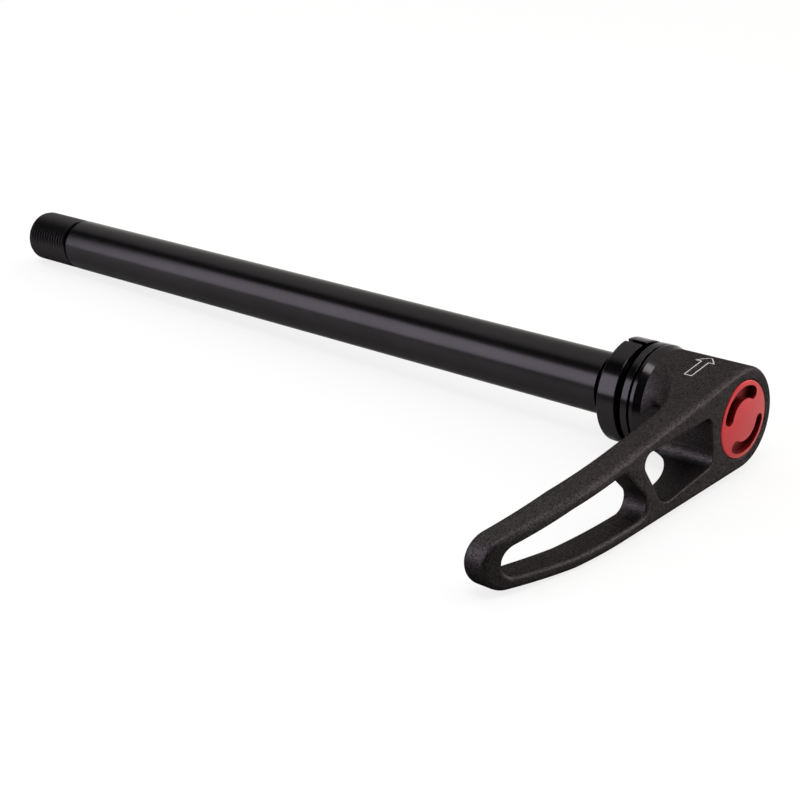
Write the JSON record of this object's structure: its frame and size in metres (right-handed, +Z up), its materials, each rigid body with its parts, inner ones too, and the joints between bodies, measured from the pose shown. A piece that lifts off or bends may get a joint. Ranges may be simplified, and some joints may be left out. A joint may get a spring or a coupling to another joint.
{
  "type": "bicycle thru axle",
  "caption": "Hollow bicycle thru axle with a fine thread at one end and, at the other, a slit bearing ring and a sprung skeleton lever that pulls out of its teeth, turns and drops back.",
  "frame": {"origin": "on the axle's axis, in the face of the slip ring that bears on the frame", "axes": "+X along the axle towards the lever, +Z up, the lever's arm towards -Y"},
  "size_m": [0.2052, 0.0758, 0.0204],
  "materials": {
    "black_axle": "satin black anodised aluminium",
    "black_ring": "gloss black moulded plastic",
    "black_steel": "gloss black oxidised steel",
    "charcoal_lever": "bead blasted charcoal anodised aluminium",
    "red_cap": "satin red anodised aluminium",
    "spring_steel": "bright spring steel"
  },
  "bodies": {
    "axle": {"axle_shaft": "black_axle", "cap_screw": "red_cap", "return_spring": "spring_steel"},
    "slip_ring": {"slip_ring": "black_ring"},
    "washer": {"spring_washer": "spring_steel"},
    "lever": {"lever": "charcoal_lever", "tooth_ring": "black_steel"}
  },
  "joints": [
    {"name": "lever_pull", "type": "slide", "parent": "axle", "child": "washer", "axis": [1, 0, 0], "range_m": [0, 0.0034], "stiffness_N_per_m": 2000, "springref_m": -0.005, "deforming": ["return_spring"]},
    {"name": "lever_turn", "type": "hinge", "parent": "washer", "child": "lever", "pos_m": [0, 0, 0], "axis": [-1, 0, 0], "continuous": true},
    {"name": "slip_ring_spin", "type": "hinge", "parent": "axle", "child": "slip_ring", "pos_m": [0, 0, 0], "axis": [1, 0, 0], "continuous": true}
  ]
}
